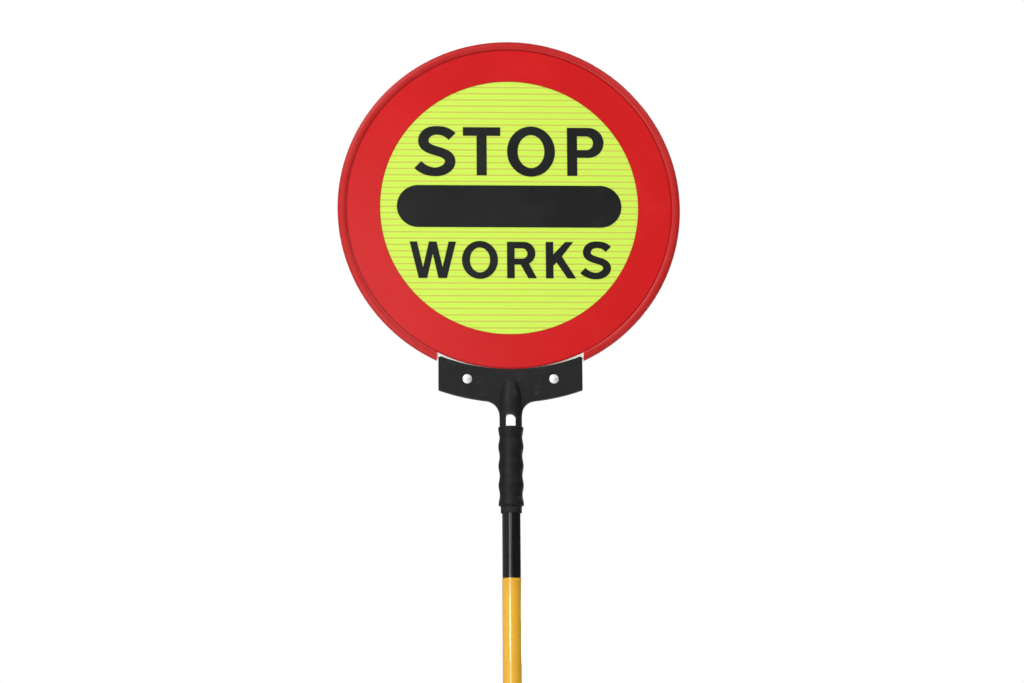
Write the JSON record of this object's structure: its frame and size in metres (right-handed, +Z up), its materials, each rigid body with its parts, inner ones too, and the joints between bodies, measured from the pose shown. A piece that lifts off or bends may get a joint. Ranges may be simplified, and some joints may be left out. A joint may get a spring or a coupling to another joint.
{
  "type": "stop works paddle",
  "caption": "Round reflective stop sign on a black moulded T-head with a hanging hole and a wavy grip, which lifts off a long straight pole with a rubber foot.",
  "frame": {"origin": "middle of the pole's foot, on the ground", "axes": "+Z up the pole, -Y out of the sign's front face, +X to the right of someone who reads the front face"},
  "size_m": [0.45, 0.033, 1.736],
  "materials": {
    "white_sheet": "smooth satin",
    "yellow_film": "fluorescent retroreflective film with fine level lines",
    "red_film": "gloss",
    "black_film": "satin",
    "red_trim": "satin",
    "black_nylon": "fine moulded texture",
    "zinc": "bright zinc plate",
    "grip_rubber": "matt",
    "black_coat": "gloss",
    "yellow_pvc": "gloss",
    "plug_plastic": "matt",
    "foot_rubber": "matt"
  },
  "bodies": {
    "pole": {"pole_tube": "black_coat", "yellow_sleeve": "yellow_pvc", "pole_plug": "plug_plastic", "foot_cap": "foot_rubber"},
    "head": {"sign_plate": "white_sheet", "edge_trim": "red_trim", "tee_head": "black_nylon", "left_rivet": "zinc", "right_rivet": "zinc", "grip_sleeve": "grip_rubber", "front_reflective_sheet": "yellow_film", "front_red_border": "red_film", "front_stop_s": "black_film", "front_stop_t": "black_film", "front_stop_o": "black_film", "front_stop_p": "black_film", "front_bar": "black_film", "front_works_w": "black_film", "front_works_o": "black_film", "front_works_r": "black_film", "front_works_k": "black_film", "front_works_s": "black_film", "rear_reflective_sheet": "yellow_film", "rear_red_border": "red_film", "rear_stop_s": "black_film", "rear_stop_t": "black_film", "rear_stop_o": "black_film", "rear_stop_p": "black_film", "rear_bar": "black_film", "rear_works_w": "black_film", "rear_works_o": "black_film", "rear_works_r": "black_film", "rear_works_k": "black_film", "rear_works_s": "black_film"}
  },
  "joints": [
    {"name": "head_lift", "type": "slide", "parent": "pole", "child": "head", "axis": [0, 0, 1], "range_m": [0, 0.11]}
  ]
}
